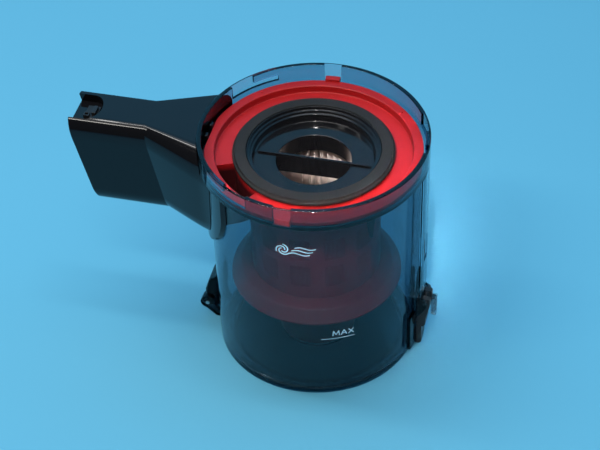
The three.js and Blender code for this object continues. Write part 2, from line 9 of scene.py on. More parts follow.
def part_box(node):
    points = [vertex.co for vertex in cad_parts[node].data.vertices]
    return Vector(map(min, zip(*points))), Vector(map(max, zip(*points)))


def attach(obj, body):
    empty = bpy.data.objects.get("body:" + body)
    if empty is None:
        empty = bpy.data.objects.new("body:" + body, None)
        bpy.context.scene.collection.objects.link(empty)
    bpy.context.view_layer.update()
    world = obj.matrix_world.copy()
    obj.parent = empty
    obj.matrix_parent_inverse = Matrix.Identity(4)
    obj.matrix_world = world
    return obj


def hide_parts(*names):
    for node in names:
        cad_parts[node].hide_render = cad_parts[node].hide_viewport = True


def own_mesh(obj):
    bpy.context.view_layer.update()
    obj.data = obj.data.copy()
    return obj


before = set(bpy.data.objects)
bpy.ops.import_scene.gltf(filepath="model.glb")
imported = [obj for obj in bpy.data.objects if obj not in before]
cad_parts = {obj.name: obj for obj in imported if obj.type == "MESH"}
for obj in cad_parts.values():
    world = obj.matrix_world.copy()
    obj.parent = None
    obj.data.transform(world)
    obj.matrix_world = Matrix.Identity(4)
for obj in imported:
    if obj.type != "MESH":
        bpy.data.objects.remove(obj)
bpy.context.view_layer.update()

# Looks of a clear dust canister, built around its CAD frame. Lengths are millimetres unless
# a name says otherwise; +Z is up, the duct points along -X and the latch stands on +X.
MM = 0.001
ROUND = 192


def lowest(node):
    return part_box(node)[0] / MM


def highest(node):
    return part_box(node)[1] / MM


# ---------- sizes taken from the frame ----------

HEIGHT = highest("dust_bin").z
RIM_R = highest("dust_bin").y
BIN_FOOT = lowest("dust_bin").z
GAP = 0.3
COLLAR_Z = highest("rod_cover").z + GAP
COLLAR_R = RIM_R - 3.3
BODY_TOP_R = RIM_R - 6.2
BODY_FOOT_R = BODY_TOP_R - 1.2
BODY_WALL = 2.4
LEDGE_Z = COLLAR_Z + 1.9

SLOTS = ((-118.5, 14.4), (21.2, 9.5), (143.9, 14.4))
SLOT_SPAN = 14.4
SLOT_Z = (167.3, 171.5)
CHANNELS = (-92, 93)
CHANNEL_W = 12
CHANNEL_DEPTH = 2.1

DUCT_HALF_W = 18.5
DUCT_BOTTOM = lowest("inlet_duct").z
DUCT_TOP = highest("inlet_duct").z
DUCT_END_X = lowest("inlet_duct").x
DUCT_SLANT = 0.24
DUCT_WALL = 2.6
FLARE_X = -114
FLARE_SLANT = 0.2
FLARE_HALF_W = 51
FLARE_LIP = 5.4
FLARE_END_X = -52
FLANGE_HALF_W = highest("inlet_gasket").y
FLANGE_FOOT = lowest("inlet_gasket").z
FLANGE_R = BODY_TOP_R + 0.3
FLANGE_T = 2.4
INLET_HALF_W = 30
INLET_Z = (112, 152)
INLET_CORNER = 6
CATCH_BACK_X = -147.5
CATCH_HALF_W = 12.5
CATCH_FLOOR = lowest("hose_catch").z - GAP

DECK_R = highest("separator_deck").x
DECK_TOP = 165
DECK_Z = 159.6
RING_IN_R = 66.5
RIM_FLAT_X = lowest("separator_deck").x
WELL_R = 45.9
RAMP_AZ = (-159, -107)
RAMP_OPEN_TO = -121
RAMP_R = (52, 67.8)
RAMP_FOOT = 105
RAMP_WALL = 1.4
SHROUD_R = highest("shroud").x
SHROUD_Z = (lowest("shroud").z, highest("shroud").z)
SKIRT_R = highest("separator_skirt").x
SKIRT_Z = lowest("separator_skirt").z
FLOOR_Z = highest("separator_skirt").z
TUBE_FOOT = lowest("fine_dust_tube").z

SEAL_OUT_R = highest("filter_seal").x - 0.1
SEAL_IN_R = 45.4
SEAL_LOW = lowest("filter_seal").z + 2
FLANGE_Z = DECK_Z + GAP
BOWL_Z = 154.6
THROAT_R = 25.5
THROAT_FOOT = lowest("filter_frame").z
PLEAT_Z = (lowest("pleated_filter").z, highest("pleated_filter").z)
PLEATS = 40
PLEAT_R = (28.6, 39.7)

PIVOT_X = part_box("latch_pin")[0].x / MM + 1.5
PIVOT_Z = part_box("latch_pin")[0].z / MM + 1.5
HINGE_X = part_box("hinge_pin")[0].x / MM + 1.5
HINGE_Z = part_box("hinge_pin")[0].z / MM + 1.5
PIN_HOLE_R = 1.6
KNUCKLE_Y = (6, 10)
RAIL_HALF_W = highest("rod_cover").y
RAIL_RIB_IN = 11.2
RAIL_FOOT = lowest("rod_cover").z
CHEEK_IN = 7.4
EAR_Y = (7.2, 9.2)


# ---------- mesh helpers ----------


def radians(degrees):
    return math.radians(degrees)


def polar(radius, degrees):
    return radius * math.cos(radians(degrees)), radius * math.sin(radians(degrees))


def rounded(outline, radius=0.5, steps=3):
    """Rounds an outline's corners. A third number in a point is that corner's own radius."""
    points = []
    count = len(outline)
    for i, corner in enumerate(outline):
        here = Vector(corner[:2])
        back = Vector(outline[i - 1][:2]) - here
        ahead = Vector(outline[(i + 1) % count][:2]) - here
        own = corner[2] if len(corner) > 2 else radius
        half = back.angle(ahead) / 2
        if own <= 0 or half > 1.5:
            points.append(tuple(here))
            continue
        reach = min(own / math.tan(half), 0.45 * back.length, 0.45 * ahead.length)
        back.normalize()
        ahead.normalize()
        size = reach * math.tan(half)
        middle = here + (back + ahead).normalized() * (size / math.sin(half))
        first = here + back * reach - middle
        turn = first.angle_signed(here + ahead * reach - middle)
        for k in range(steps + 1):
            angle = -turn * k / steps
            spin = Matrix.Rotation(angle, 2)
            points.append(tuple(middle + spin @ first))
    return points


def new_piece(name, points, faces):
    """A mesh object from points in millimetres, welded and with its normals outward."""
    mesh = bpy.data.meshes.new(name)
    mesh.from_pydata([[c * MM for c in p] for p in points], [], faces)
    obj = bpy.data.objects.new(name, mesh)
    bpy.context.scene.collection.objects.link(obj)
    bm = bmesh.new()
    bm.from_mesh(mesh)
    bmesh.ops.remove_doubles(bm, verts=bm.verts, dist=1e-7)
    bmesh.ops.recalc_face_normals(bm, faces=bm.faces)
    bm.to_mesh(mesh)
    bm.free()
    return obj


def lathe(name, outline, around=ROUND):
    """Revolves a closed outline of (r, z) points around Z."""
    count = len(outline)
    points, faces = [], []
    for k in range(around):
        c, s = polar(1, 360 * k / around)
        points += [(r * c, r * s, z) for r, z in outline]
    for k in range(around):
        here, there = k * count, (k + 1) % around * count
        for i in range(count):
            j = (i + 1) % count
            faces.append((here + i, there + i, there + j, here + j))
    return new_piece(name, points, faces)


def skin(name, rings):
    """Joins rings of points and closes both ends."""
    count = len(rings[0])
    points = [p for ring in rings for p in ring]
    faces = [tuple(range(count)), tuple(range(len(points) - count, len(points)))]
    for k in range(len(rings) - 1):
        here, there = k * count, (k + 1) * count
        for i in range(count):
            j = (i + 1) % count
            faces.append((here + i, there + i, there + j, here + j))
    return new_piece(name, points, faces)


def prism(name, outline, low, high, axis):
    """Extrudes an outline along x (points are y, z), y (x, z) or z (x, y)."""
    place = {
        "x": lambda u, v, w: (w, u, v),
        "y": lambda u, v, w: (u, w, v),
        "z": lambda u, v, w: (u, v, w),
    }[axis]
    return skin(name, [[place(u, v, w) for u, v in outline] for w in (low, high)])


def block(x, y, z, name="tool"):
    """A box from three (low, high) pairs."""
    corners = [(x[0], y[0]), (x[1], y[0]), (x[1], y[1]), (x[0], y[1])]
    return prism(name, corners, z[0], z[1], "z")


def rod(centre, radius, low, high, axis="y", steps=48):
    around = [polar(radius, 360 * k / steps) for k in range(steps)]
    outline = [(centre[0] + u, centre[1] + v) for u, v in around]
    return prism("tool", outline, low, high, axis)


def sector(inner, outer, z, centre, span, name="tool", steps=24):
    """A sector of a ring, centred on an angle, in degrees."""
    angles = [centre + span * (k / steps - 0.5) for k in range(steps + 1)]
    outline = [polar(outer, a) for a in angles] + [polar(inner, a) for a in reversed(angles)]
    return prism(name, outline, z[0], z[1], "z")


def apply_modifiers(obj):
    bpy.context.view_layer.update()
    graph = bpy.context.evaluated_depsgraph_get()
    mesh = bpy.data.meshes.new_from_object(obj.evaluated_get(graph))
    obj.modifiers.clear()
    obj.data = mesh
    return obj


def combine(obj, operation, tools):
    for tool in tools:
        modifier = obj.modifiers.new(operation, "BOOLEAN")
        modifier.operation = operation
        modifier.solver = "MANIFOLD"
        modifier.object = tool
    apply_modifiers(obj)
    for tool in tools:
        bpy.data.objects.remove(tool)
    return obj


def cut(obj, *tools):
    return combine(obj, "DIFFERENCE", tools)


def add(obj, *tools):
    return combine(obj, "UNION", tools)


def keep_inside(obj, *tools):
    return combine(obj, "INTERSECT", tools)


def soften(obj, width, segments=2, angle=35):
    """Rounds a piece's sharp edges."""
    modifier = obj.modifiers.new("soften", "BEVEL")
    modifier.width = width * MM
    modifier.segments = segments
    modifier.limit_method = "ANGLE"
    modifier.angle_limit = radians(angle)
    return apply_modifiers(obj)


def gather(obj, others):
    """Puts other closed bodies into one piece's mesh."""
    bm = bmesh.new()
    for o in [obj, *others]:
        bm.from_mesh(o.data)
    bm.to_mesh(obj.data)
    bm.free()
    for o in others:
        bpy.data.objects.remove(o)
    return obj


def place(obj, body, material, slot, *nodes, sharp=32):
    """Shades a finished piece, gives it its material and sets it on its body."""
    for polygon in obj.data.polygons:
        polygon.use_smooth = True
    obj.data.set_sharp_from_angle(angle=radians(sharp))
    modifier = obj.modifiers.new("even normals", "WEIGHTED_NORMAL")
    modifier.keep_sharp = True
    apply_modifiers(obj)
    obj.data.materials.clear()
    obj.data.materials.append(material)
    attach(obj, body)
    if nodes:
        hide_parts(*nodes)
    return obj


# ---------- materials ----------


class Nodes:
    """A material's node tree, with its texture space in millimetres."""

    def __init__(self, name):
        self.material = bpy.data.materials.new(name)
        self.material.use_nodes = True
        self.tree = self.material.node_tree
        self.tree.nodes.clear()
        self.output = self.tree.nodes.new("ShaderNodeOutputMaterial")
        self.coords = self.tree.nodes.new("ShaderNodeTexCoord").outputs["Object"]

    def node(self, kind, settings=None, **inputs):
        node = self.tree.nodes.new("ShaderNode" + kind)
        for key, value in (settings or {}).items():
            setattr(node, key, value)
        for key, value in inputs.items():
            self.feed(node.inputs[key.replace("_", " ")], value)
        return node

    def feed(self, socket, value):
        if isinstance(value, bpy.types.NodeSocket):
            self.tree.links.new(value, socket)
        else:
            socket.default_value = value

    def noise(self, size, detail=2.0, stretch=(1, 1, 1)):
        """Noise with features of about this many millimetres."""
        mapping = self.node("Mapping", Vector=self.coords)
        mapping.inputs["Scale"].default_value = [1000 / (size * s) for s in stretch]
        texture = self.node("TexNoise", Vector=mapping.outputs[0], Scale=1.0, Detail=detail)
        return texture.outputs["Fac"]

    def between(self, value, low, high):
        return self.node("MapRange", Value=value, To_Min=low, To_Max=high).outputs[0]

    def tint(self, value, dark, light):
        ramp = self.node("Mix", {"data_type": "RGBA"})
        self.feed(ramp.inputs[0], value)
        for socket, shade in ((ramp.inputs[6], dark), (ramp.inputs[7], light)):
            self.feed(socket, shade if isinstance(shade, bpy.types.NodeSocket) else (*shade, 1))
        return ramp.outputs[2]

    def bump(self, height, depth, under=None):
        node = self.node("Bump", Height=height, Strength=1.0, Distance=depth * MM)
        if under is not None:
            self.feed(node.inputs["Normal"], under)
        return node.outputs[0]

    def finish(self, shader, volume=None):
        self.tree.links.new(shader, self.output.inputs["Surface"])
        if volume is not None:
            self.tree.links.new(volume, self.output.inputs["Volume"])
        return self.material


def solid_plastic(name, dark, light, roughness, grain, grain_depth, wave_depth=0.0, low=None):
    """Moulded plastic: a fine grain, slow waves, and small changes of shade and gloss.

    low is a (height, shade) pair for painted shade: the plastic darkens to that shade just below that height,
    standing for the shade in hollows and under things below it.
    """
    n = Nodes(name)
    slow = n.noise(22, 3)
    fine = n.noise(grain, 2)
    shine = n.between(n.noise(6, 4), roughness[0], roughness[1])
    normal = n.bump(slow, wave_depth) if wave_depth else None
    normal = n.bump(fine, grain_depth, under=normal)
    colour = n.tint(slow, dark, light)
    # Painted shade: the colour darkens by height below the given level.
    if low:
        height, shade = low
        shade_height = n.node("SeparateXYZ", Vector=n.coords).outputs["Z"]
        full_shade_z, no_shade_z = (height - 6) * MM, (height - 0.5) * MM
        share = n.node("MapRange", Value=shade_height, From_Min=full_shade_z, From_Max=no_shade_z).outputs[0]
        colour = n.tint(share, shade, colour)
    shader = n.node("BsdfPrincipled", Base_Color=colour, Roughness=shine, Normal=normal)
    shader.inputs["Specular IOR Level"].default_value = 0.32
    return n.finish(shader.outputs[0])


def clear_plastic(name, passed, density, roughness, index=1.4):
    """Tinted clear plastic: its tint deepens with the length of plastic looked through."""
    n = Nodes(name)
    shine = n.between(n.noise(9, 5), roughness[0], roughness[1])
    glass = n.node("BsdfPrincipled", Base_Color=(1, 1, 1, 1), Roughness=shine)
    glass.inputs["IOR"].default_value = index
    glass.inputs["Transmission Weight"].default_value = 1.0
    through = n.node("BsdfTransparent", Color=(0.93, 0.93, 0.93, 1))
    path = n.node("LightPath")
    mix = n.node("MixShader")
    n.feed(mix.inputs[0], path.outputs["Is Shadow Ray"])
    n.feed(mix.inputs[1], glass.outputs[0])
    n.feed(mix.inputs[2], through.outputs[0])
    tint = n.node("VolumeAbsorption", Color=(*passed, 1), Density=density)
    return n.finish(mix.outputs[0], tint.outputs[0])


def rubber_material():
    n = Nodes("warm grey rubber")
    speck = n.noise(0.35, 4)
    slow = n.noise(9, 3)
    shader = n.node(
        "BsdfPrincipled",
        Base_Color=n.tint(slow, (0.0058, 0.0058, 0.0058), (0.0082, 0.0081, 0.008)),
        Roughness=n.between(speck, 0.62, 0.86),
        Normal=n.bump(speck, 0.05),
    )
    shader.inputs["Specular IOR Level"].default_value = 0.3
    return n.finish(shader.outputs[0])


def paper_material():
    n = Nodes("pleated filter paper")
    fibre = n.noise(0.5, 6, (1, 1, 3))
    dust = n.noise(12, 4)
    colour = n.tint(dust, (0.66, 0.54, 0.50), (0.86, 0.80, 0.76))
    shader = n.node(
        "BsdfPrincipled", Base_Color=colour, Roughness=n.between(fibre, 0.82, 1.0), Normal=n.bump(fibre, 0.08)
    )
    return n.finish(shader.outputs[0])


def steel_material(name, dark, light):
    n = Nodes(name)
    draw = n.noise(0.3, 3, (1, 8, 1))
    shader = n.node(
        "BsdfPrincipled",
        Base_Color=n.tint(draw, dark, light),
        Roughness=n.between(draw, 0.2, 0.38),
        Normal=n.bump(draw, 0.01),
    )
    shader.inputs["Metallic"].default_value = 1.0
    return n.finish(shader.outputs[0])


def ink_material():
    n = Nodes("pale printing ink")
    speck = n.noise(0.4, 3)
    shader = n.node(
        "BsdfPrincipled",
        Base_Color=n.tint(speck, (0.36, 0.52, 0.62), (0.46, 0.62, 0.72)),
        Roughness=n.between(speck, 0.4, 0.55),
    )
    return n.finish(shader.outputs[0])


CLEAR = clear_plastic("clear smoke plastic", (0.07, 0.32, 0.46), 335, (0.0, 0.02))
SMOKE = clear_plastic("dark smoke plastic", (0.14, 0.16, 0.20), 700, (0.02, 0.08), 1.25)
THIN_CLEAR = clear_plastic("thin clear plastic", (0.10, 0.40, 0.50), 180, (0.0, 0.02), 1.12)
PALE_SMOKE = clear_plastic("pale smoke plastic", (0.40, 0.42, 0.42), 300, (0.05, 0.12), 1.45)
BROWN_SMOKE = clear_plastic("brown smoke plastic", (0.30, 0.22, 0.18), 1200, (0.02, 0.08), 1.3)
GLOSS = solid_plastic(
    "gloss black plastic", (0.004, 0.004, 0.005), (0.006, 0.006, 0.007), (0.05, 0.09), 0.6, 0.0008, 0.01
)
SATIN = solid_plastic(
    "satin black plastic", (0.009, 0.009, 0.010), (0.014, 0.014, 0.015), (0.3, 0.42), 0.3, 0.01
)
# The red gets a painted shade below the deck level, for the shade in the recess and under the deck.
RED = solid_plastic(
    "red plastic", (0.30, 0.005, 0.006), (0.35, 0.008, 0.009), (0.36, 0.46), 0.35, 0.008, 0.01,
    low=(DECK_Z, (0.03, 0.003, 0.004)),
)
MAROON = solid_plastic(
    "dark red plastic", (0.22, 0.017, 0.022), (0.26, 0.022, 0.027), (0.35, 0.46), 0.35, 0.01, 0.01
)
# The fine dust tube's red plastic, painted darker: painted shade for the tube deep inside the bin.
SHADED_RED = solid_plastic(
    "red plastic in painted shade", (0.05, 0.008, 0.010), (0.07, 0.010, 0.013), (0.35, 0.46), 0.35, 0.01
)
RUBBER = rubber_material()
PAPER = paper_material()
STEEL = steel_material("drawn steel", (0.42, 0.43, 0.44), (0.66, 0.67, 0.68))
BLACK_STEEL = steel_material("blackened steel", (0.03, 0.03, 0.032), (0.06, 0.06, 0.062))
INK = ink_material()


# ---------- clear bin and rod cover ----------


def bin_shell():
    outline = rounded([
        (BODY_FOOT_R, BIN_FOOT, 0.5), (BODY_TOP_R, COLLAR_Z, 1.2), (RIM_R, COLLAR_Z, 1.5),
        (RIM_R, HEIGHT, 0.9), (COLLAR_R, HEIGHT, 0.7), (COLLAR_R, LEDGE_Z, 0.8),
        (BODY_TOP_R - BODY_WALL, LEDGE_Z, 0.7), (BODY_FOOT_R - BODY_WALL, BIN_FOOT, 0.5),
    ], steps=4)
    shell = lathe("bin_shell", outline)
    ribs = []
    for side in (-1, 1):
        across = sorted((side * RAIL_RIB_IN, side * RAIL_HALF_W))
        ribs.append(soften(block((70, 75.2), across, (RAIL_FOOT, COLLAR_Z + 0.5)), 0.4))
    add(shell, *ribs)
    tools = []
    for angle, leg in SLOTS:
        tools.append(sector(COLLAR_R - 1, COLLAR_R + 1.9, (SLOT_Z[0], HEIGHT + 1), angle, SLOT_SPAN))
        tools.append(sector(COLLAR_R - 1, COLLAR_R + 1.9, SLOT_Z, angle - (SLOT_SPAN + leg) / 2, leg + 0.2))
    channel_span = math.degrees(CHANNEL_W / COLLAR_R)
    tools += [
        sector(COLLAR_R - 1, COLLAR_R + CHANNEL_DEPTH, (LEDGE_Z, HEIGHT + 1), angle, channel_span)
        for angle in CHANNELS
    ]
    tools.append(block((73, 77.1), (-4.2, 4.2), (COLLAR_Z - 1, HEIGHT + 1)))
    inlet = block((-80, -60), (-INLET_HALF_W, INLET_HALF_W), INLET_Z)
    tools.append(soften(inlet, INLET_CORNER, 5))
    cut(shell, *tools)
    return place(shell, "bin", CLEAR, "clear_bin", "dust_bin")


def rod_cover_panel():
    panel = sector(RIM_R - 1.1, RIM_R - 0.2, (RAIL_FOOT, COLLAR_Z - GAP), 0, 19.2, "rod_cover_panel")
    keep_inside(panel, block((60, 80), (-RAIL_HALF_W, RAIL_HALF_W), (0, HEIGHT)))
    cut(panel, soften(block((70, 80), (-5, 5), (80, 101)), 1.2, 4))
    soften(panel, 0.2)
    return place(panel, "bin", THIN_CLEAR, "clear_bin", "rod_cover")


# ---------- inlet duct ----------


def duct_section(half_w, low, high, corners, steps=14):
    """A rounded box section as (y, z) points.

    corners holds the y and z sizes of the bottom corners, the near top one and the far top one.
    """
    low_y, low_z, top_y, top_z, far_y, far_z = corners
    places = [
        (-1, low_y, low_z, -90), (-1, top_y, -top_z, 180), (1, far_y, -far_z, 90), (1, low_y, low_z, 0),
    ]
    points = []
    for side, ry, rz, start in places:
        centre_y = side * (half_w - ry)
        centre_z = low + rz if rz > 0 else high + rz
        for k in range(steps + 1):
            c, s = polar(1, start - 90 * k / steps)
            points.append((centre_y + ry * c, centre_z + abs(rz) * s))
    return points


def flare_half_width(t):
    """Half the duct's width along the flare: a straight spread that ends in a trumpet lip."""
    lip = max(0.0, (t - 0.65) / 0.35)
    return DUCT_HALF_W + (FLARE_HALF_W - FLARE_LIP - DUCT_HALF_W) * t + FLARE_LIP * lip ** 2


def duct_skin(name, inset, ends=0.0):
    def end_x(z):
        return DUCT_END_X + (DUCT_TOP - z) * DUCT_SLANT - ends

    def flare_x(z):
        return FLARE_X + (DUCT_TOP - z) * FLARE_SLANT

    def ring(half_w, at, corners, shrink=0.0):
        less = inset + shrink
        section = duct_section(half_w - less, DUCT_BOTTOM + less, DUCT_TOP - less, corners)
        return [(at(z), y, z) for y, z in section]

    straight = (9, 13, 9, 15, 4, 8)
    edge = [(0, 0.9), (0.3, 0.3), (0.9, 0)] if not inset else [(0, 0)]
    rings = [ring(DUCT_HALF_W, lambda z, d=d: end_x(z) + d, straight, shrink) for d, shrink in edge]
    rings.append(ring(DUCT_HALF_W, flare_x, straight))
    steps = 24
    for k in range(1, steps + 1):
        t = k / steps
        corners = (9 + 13 * t ** 6, 13 + 15 * t ** 6, 9 + 9 * t, 15 + 9 * t, 4 + 4 * t, 8 + 4 * t)
        rings.append(ring(
            flare_half_width(t), lambda z, t=t: flare_x(z) + (FLARE_END_X - flare_x(z)) * t, corners
        ))
    return skin(name, rings)


def catch_outline(half_w, back_x):
    """The U shape of the pocket on top of the duct's end."""
    arc = [polar(1, -90 + 180 * k / 16) for k in range(17)]
    nose = 0.7 * half_w
    start = DUCT_END_X - 10
    return [(start, -half_w)] + [(back_x - nose + nose * c, half_w * s) for c, s in arc] + [(start, half_w)]


def duct():
    shell = duct_skin("duct_shell", 0)
    hollow = duct_skin("tool", DUCT_WALL, ends=5)
    tray_wall = 2
    tray = prism(
        "tool", catch_outline(CATCH_HALF_W + tray_wall, CATCH_BACK_X + tray_wall),
        CATCH_FLOOR - tray_wall, DUCT_TOP - 1, "z",
    )
    cut(hollow, tray)
    pocket = prism("tool", catch_outline(CATCH_HALF_W, CATCH_BACK_X), CATCH_FLOOR, DUCT_TOP + 5, "z")
    body = rod((0, 0), FLANGE_R + FLANGE_T + GAP, 90, COLLAR_Z + 0.1, "z", ROUND)
    collar = rod((0, 0), RIM_R + GAP, COLLAR_Z - GAP, HEIGHT + 5, "z", ROUND)
    cut(shell, hollow, pocket, body, collar)
    return place(shell, "bin", GLOSS, "black_gloss", "inlet_duct", sharp=17)


def collar_clips():
    """Two small clips on the inside of the collar, over the flat side of the deck."""
    radius, half_w, height = (72.2, 74.6), 2.2, (162.4, 167.4)
    clips = []
    for angle in (174, 183):
        clip = soften(block(radius, (-half_w, half_w), height), 0.9, 4)
        clip.data.transform(Matrix.Rotation(radians(angle), 4, "Z"))
        clips.append(clip)
    clips[0].name = "collar_clips"
    return place(gather(clips[0], clips[1:]), "bin", GLOSS, "black_gloss")


def duct_flange():
    """The band behind the flare, bent round the bin, with the opening into it."""
    section = duct_section(FLANGE_HALF_W, FLANGE_FOOT, COLLAR_Z - GAP, (30, 38, 1, 1, 1, 1))
    band = prism("duct_flange", section, -90, -30, "x")
    low, high = FLANGE_FOOT - 5, COLLAR_Z + 5
    ring = lathe("tool", [
        (FLANGE_R, low), (FLANGE_R + FLANGE_T, low), (FLANGE_R + FLANGE_T, high), (FLANGE_R, high),
    ])
    keep_inside(band, ring)
    cut(band, soften(block((-90, -40), (-INLET_HALF_W, INLET_HALF_W), INLET_Z), INLET_CORNER, 5))
    soften(band, 0.7, 3, 50)
    return place(band, "bin", GLOSS, "black_gloss", "inlet_gasket")


def catch_insert():
    floor = CATCH_FLOOR + GAP
    plate = soften(block((-159.5, -150.5), (-6.5, 6.5), (floor, floor + 1.4), "catch_insert"), 0.3)
    hook = soften(block((-154.5, -151.5), (-4, 4), (floor + 1, floor + 4)), 0.5)
    frame_block = block((-159.5, -155.5), (-6.5, -2.5), (floor + 1, floor + 3))
    cut(frame_block, block((-158.6, -156.4), (-5.6, -3.4), (floor + 1.2, floor + 5)))
    soften(frame_block, 0.2)
    add(plate, hook, frame_block)
    return place(plate, "bin", SATIN, "black_satin", "hose_catch")


# ---------- separator ----------


def ramp(name, inset, top, end):
    """The wedge beside the inlet, whose floor climbs round the bin to the deck."""
    start, slope = RAMP_AZ[0], (DECK_Z - 2 - RAMP_FOOT) / (RAMP_AZ[1] - RAMP_AZ[0])
    inner, outer = RAMP_R[0] + inset, RAMP_R[1] - inset
    steps = 24
    rings = []
    for k in range(steps + 1):
        turn = (end - start) * k / steps
        low = RAMP_FOOT + slope * turn + 1.25 * inset
        angle = start + (math.degrees(inset / RAMP_R[0]) if k == 0 else turn)
        corners = ((inner, low), (outer, low), (outer, top), (inner, top))
        rings.append([(*polar(r, angle), z) for r, z in corners])
    return skin(name, rings)


def deck_tab():
    """The small pointed tab under the deck's outer edge."""
    angle, radius, half_w = -44, RING_IN_R + 1.6, 4
    outline = [(-half_w, DECK_Z - 1), (-0.8, 136.5), (0.8, 136.5), (half_w, DECK_Z - 1)]
    tab = prism("tool", rounded(outline, 0.6), radius - 1.6, radius, "x")
    tab.data.transform(Matrix.Rotation(radians(angle), 4, "Z"))
    return tab


def separator_deck():
    under = DECK_Z - 2
    foot = LEDGE_Z + GAP
    outline = rounded([
        (WELL_R, 153, 0.3), (WELL_R + 1.6, 153, 0.3), (WELL_R + 1.6, under, 0.5),
        (RING_IN_R + 1.7, under, 0.5), (RING_IN_R + 1.7, DECK_TOP - 1.7, 0.3),
        (DECK_R - 1.7, DECK_TOP - 1.7, 0.3), (DECK_R - 1.7, foot, 0.3), (DECK_R, foot, 0.3),
        (DECK_R, DECK_TOP, 0.7), (RING_IN_R, DECK_TOP, 0.9), (RING_IN_R, DECK_Z, 0.8), (WELL_R, DECK_Z, 0.4),
    ])
    deck = lathe("separator_deck_body", outline)
    tab_r = COLLAR_R + CHANNEL_DEPTH - GAP - 0.2
    tabs = [
        soften(sector(DECK_R - 1.5, tab_r, (foot, DECK_TOP + 2), angle, 8), 0.4) for angle in CHANNELS
    ]
    dots = [
        rod(polar(70, angle), 0.7, DECK_TOP - 0.7, DECK_TOP + 1, "z", 16) for angle in (-46, 44, 134, -136)
    ]
    add(deck, *tabs, deck_tab(), ramp("tool", 0, DECK_Z - 0.5, RAMP_AZ[1]))
    cut(
        deck,
        block((-80, RIM_FLAT_X), (-30, 30), (LEDGE_Z - 1, DECK_TOP + 1)),
        ramp("tool", RAMP_WALL, DECK_Z + 1, RAMP_OPEN_TO),
        *dots,
    )
    soften(deck, 0.35, 2, 60)
    return place(deck, "separator", RED, "red_plastic", "separator_deck")


def shroud_body():
    wall = lathe("shroud_body", rounded([
        (SHROUD_R - 1.8, SHROUD_Z[0]), (SHROUD_R, SHROUD_Z[0]),
        (SHROUD_R, SHROUD_Z[1]), (SHROUD_R - 1.8, SHROUD_Z[1]),
    ], 0.4))
    columns, rows, height = 12, (80, 104, 128), 18
    tools = []
    for low in rows:
        for k in range(columns):
            tool = block((SHROUD_R - 5, SHROUD_R + 5), (-7, 7), (low, low + height))
            soften(tool, 1.5, 3)
            tool.data.transform(Matrix.Rotation(2 * math.pi * k / columns, 4, "Z"))
            tools.append(tool)
    cut(wall, *tools)
    gather(wall, [shroud_screen(low, height) for low in rows])
    return place(wall, "separator", MAROON, "red_plastic", "shroud")


def shroud_screen(low, height):
    """A fine screen behind one row of openings: upright wires crossed by thin hoops."""
    radius, wire = SHROUD_R - 0.5, 0.4
    wires, half_turn, hoops = 320, 0.36, 19
    points, faces = [], []

    def body(corners):
        first = len(points)
        points.extend(corners)
        for quad in ((0, 3, 2, 1), (4, 5, 6, 7), (0, 1, 5, 4), (1, 2, 6, 5), (2, 3, 7, 6), (3, 0, 4, 7)):
            faces.append([first + i for i in quad])

    for k in range(wires):
        angle = 360 * k / wires
        section = (
            (radius, -half_turn), (radius + wire, -half_turn),
            (radius + wire, half_turn), (radius, half_turn),
        )
        ends = [polar(r, angle + side) for r, side in section]
        body([(x, y, low - 1) for x, y in ends] + [(x, y, low + height + 1) for x, y in ends])
    screen = new_piece("tool", points, faces)
    pitch = (height + 2) / (hoops - 1)
    rings = [
        lathe("tool", [
            (radius - 0.25, low - 1 + pitch * k), (radius + 0.05, low - 1 + pitch * k),
            (radius + 0.05, low - 0.4 + pitch * k), (radius - 0.25, low - 0.4 + pitch * k),
        ], 96)
        for k in range(hoops)
    ]
    return gather(screen, rings)


def skirt_bell():
    under = FLOOR_Z - 2.2
    outline = rounded([
        (0, under, 0), (SHROUD_R - 1, under, 1), (51.6, 64, 3), (SKIRT_R - 2, SKIRT_Z + 0.4, 0.2),
        (SKIRT_R - 1.8, SKIRT_Z, 0.2), (SKIRT_R, SKIRT_Z, 0.4), (SKIRT_R, SKIRT_Z + 1.4, 0.5), (52.8, 66, 6),
        (SHROUD_R - 0.3, FLOOR_Z, 2), (0, FLOOR_Z, 0),
    ], steps=5)
    return place(lathe("skirt_bell", outline), "separator", MAROON, "red_plastic", "separator_skirt")


def dust_tube():
    top = FLOOR_Z - 2.2 - GAP
    tube = lathe("fine_dust_tube_body", rounded([
        (25, TUBE_FOOT), (27, TUBE_FOOT), (30, top), (28, top),
    ], 0.3), 128)
    # The tube's darker red is painted shade.
    return place(tube, "separator", SHADED_RED, "red_plastic", "fine_dust_tube")


# ---------- filter ----------


